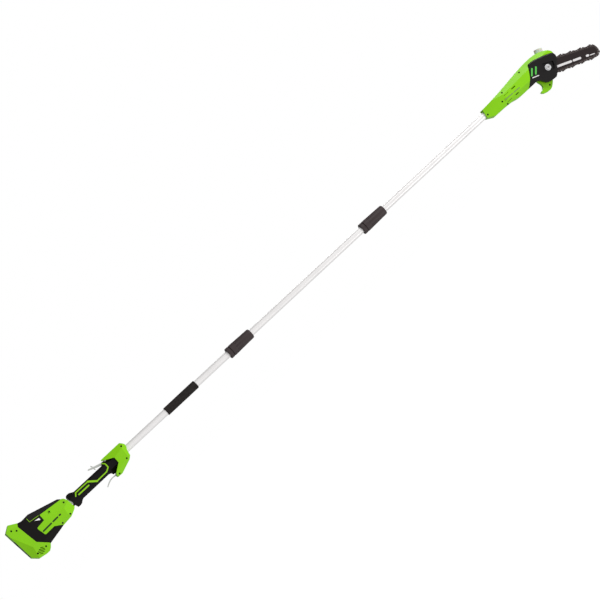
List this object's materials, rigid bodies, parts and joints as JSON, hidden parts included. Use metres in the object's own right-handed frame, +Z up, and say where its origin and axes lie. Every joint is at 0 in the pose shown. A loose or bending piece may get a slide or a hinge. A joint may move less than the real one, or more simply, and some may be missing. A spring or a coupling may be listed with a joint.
{
  "type": "pole saw",
  "caption": "Battery pole saw with a long sectional tube shaft, screwed couplers, a triggered grip and an angled chainsaw head with a limb hook.",
  "frame": {"origin": "on the tube axis, where it meets the battery's rear end face", "axes": "+X along the tubes towards the saw head, +Z up through the lock-off lever, +Y to the left of someone looking along +X"},
  "size_m": [2.6694, 0.096, 0.2008],
  "materials": {
    "green_plastic": "moulded, fine satin texture",
    "black_plastic": "moulded, fine satin texture",
    "grip_rubber": "soft ribbed overmould",
    "tube_aluminium": "drawn, clear anodised",
    "coupler_plastic": "moulded, dark grey",
    "foam": "closed-cell foam sleeve",
    "battery_plastic": "moulded, black",
    "pale_plastic": "moulded, pale grey",
    "lime_inlay": "bright moulded trim",
    "screw_steel": "blackened screws",
    "chain_steel": "oiled chain steel",
    "bar_steel": "dark painted steel",
    "nut_steel": "plated",
    "cap_plastic": "translucent, pale",
    "contact_brass": "tinned contacts",
    "board": "circuit board",
    "motor_steel": "zinc plated",
    "gear_steel": "cut steel",
    "wire_cover": "flexible insulated lead"
  },
  "bodies": {
    "power_unit": {"base_shell_right": "green_plastic", "base_shell_left": "green_plastic", "body_shell_right": "black_plastic", "body_shell_left": "black_plastic", "side_panel_right": "green_plastic", "side_panel_left": "green_plastic", "handle_overmould": "grip_rubber", "battery_bay": "black_plastic", "bay_contacts": "contact_brass", "control_board": "board", "lower_tube": "tube_aluminium", "cable_conduit": "black_plastic", "foam_grip": "foam", "lower_ferrule": "coupler_plastic", "lower_socket": "black_plastic", "lower_wire": "wire_cover", "grip_shell_right": "black_plastic", "grip_shell_left": "black_plastic", "grip_inlays": "lime_inlay", "guard_shell_right": "green_plastic", "guard_shell_left": "green_plastic", "control_pins": "gear_steel", "control_springs": "gear_steel", "switch_block": "black_plastic", "handle_screws": "screw_steel"},
    "battery": {"battery_case": "battery_plastic"},
    "battery_latch": {"battery_release": "battery_plastic"},
    "trigger_lever": {"trigger": "pale_plastic"},
    "lockoff": {"lockoff_lever": "pale_plastic"},
    "lower_collar": {"lower_sleeve": "coupler_plastic"},
    "middle_section": {"middle_tube": "tube_aluminium", "lower_plug": "black_plastic", "middle_wire": "wire_cover", "upper_ferrule": "coupler_plastic", "upper_socket": "black_plastic"},
    "upper_collar": {"upper_sleeve": "coupler_plastic"},
    "saw_head": {"upper_tube": "tube_aluminium", "upper_plug": "black_plastic", "upper_wire": "wire_cover", "head_shell_right": "green_plastic", "head_shell_left": "green_plastic", "limb_hook": "green_plastic", "bar_cover": "black_plastic", "bar_plate": "gear_steel", "motor_case": "motor_steel", "oil_tank": "cap_plastic", "oil_pump": "black_plastic", "head_screws": "screw_steel"},
    "bar_nut_body": {"bar_nut": "nut_steel"},
    "filler_cap": {"oil_cap": "cap_plastic"},
    "bar_and_chain": {"guide_bar": "bar_steel", "chain_drive_links": "chain_steel", "chain_straps": "chain_steel", "chain_cutters": "chain_steel", "tension_carriage": "gear_steel"},
    "bar_nose": {"nose_sprocket": "gear_steel"},
    "tension_adjuster": {"tension_screw": "gear_steel"},
    "spindle": {"drive_gear": "gear_steel", "drive_sprocket": "gear_steel"},
    "rotor": {"motor_rotor": "motor_steel"}
  },
  "joints": [
    {"name": "battery_slide", "type": "slide", "parent": "power_unit", "child": "battery", "axis": [-1, 0, 0], "range_m": [0, 0.09]},
    {"name": "battery_release_press", "type": "slide", "parent": "battery", "child": "battery_latch", "axis": [1, 0, 0], "range_m": [0, 0.002], "stiffness_N_per_m": 1500},
    {"name": "trigger_squeeze", "type": "hinge", "parent": "power_unit", "child": "trigger_lever", "pos_m": [0.4, 0, -0.04], "axis": [0, 1, 0], "range_deg": [0, 11], "stiffness_Nm_per_rad": 0.6, "springref_deg": -8.59},
    {"name": "lockoff_press", "type": "hinge", "parent": "power_unit", "child": "lockoff", "pos_m": [0.404, 0, 0.02], "axis": [0, -1, 0], "range_deg": [0, 4], "stiffness_Nm_per_rad": 0.8, "springref_deg": -5.73},
    {"name": "lower_sleeve_turn", "type": "hinge", "parent": "middle_section", "child": "lower_collar", "pos_m": [0.984, 0, 0], "axis": [1, 0, 0], "range_deg": [0, 720]},
    {"name": "lower_section_pull", "type": "slide", "parent": "power_unit", "child": "middle_section", "axis": [1, 0, 0], "range_m": [0, 0.06]},
    {"name": "upper_sleeve_turn", "type": "hinge", "parent": "saw_head", "child": "upper_collar", "pos_m": [1.62, 0, 0], "axis": [1, 0, 0], "range_deg": [0, 720]},
    {"name": "upper_section_pull", "type": "slide", "parent": "middle_section", "child": "saw_head", "axis": [1, 0, 0], "range_m": [0, 0.06]},
    {"name": "oil_cap_turn", "type": "hinge", "parent": "saw_head", "child": "filler_cap", "pos_m": [2.49763, 0.008, 0.02187], "axis": [0.3746, 0, 0.9272], "range_deg": [0, 360]},
    {"name": "bar_nut_turn", "type": "hinge", "parent": "saw_head", "child": "bar_nut_body", "pos_m": [2.4774, -0.03, -0.0282], "axis": [0, -1, 0], "range_deg": [-1080, 0]},
    {"name": "tension_screw_turn", "type": "hinge", "parent": "saw_head", "child": "tension_adjuster", "pos_m": [2.48264, -0.006, -0.01522], "axis": [0.9272, 0, -0.3746], "range_deg": [0, 764]},
    {"name": "bar_slide", "type": "slide", "parent": "saw_head", "child": "bar_and_chain", "axis": [0.9272, 0, -0.3746], "range_m": [0, 0.0015]},
    {"name": "rotor_spin", "type": "hinge", "parent": "saw_head", "child": "rotor", "pos_m": [2.39341, 0, -0.0076], "axis": [0, 1, 0], "continuous": true},
    {"name": "sprocket_spin", "type": "hinge", "parent": "saw_head", "child": "spindle", "pos_m": [2.4264, 0, -0.0076], "axis": [0, 1, 0], "continuous": true},
    {"name": "nose_sprocket_spin", "type": "hinge", "parent": "bar_and_chain", "child": "bar_nose", "pos_m": [2.64123, -0.0175, -0.09439], "axis": [0, 1, 0], "continuous": true}
  ],
  "couplings": [
    {"joint": "tension_screw_turn", "follows": "bar_slide", "rad_per_m": 8888.9},
    {"joint": "sprocket_spin", "follows": "rotor_spin", "ratio": -0.33333},
    {"joint": "nose_sprocket_spin", "follows": "rotor_spin", "ratio": -0.22222}
  ]
}
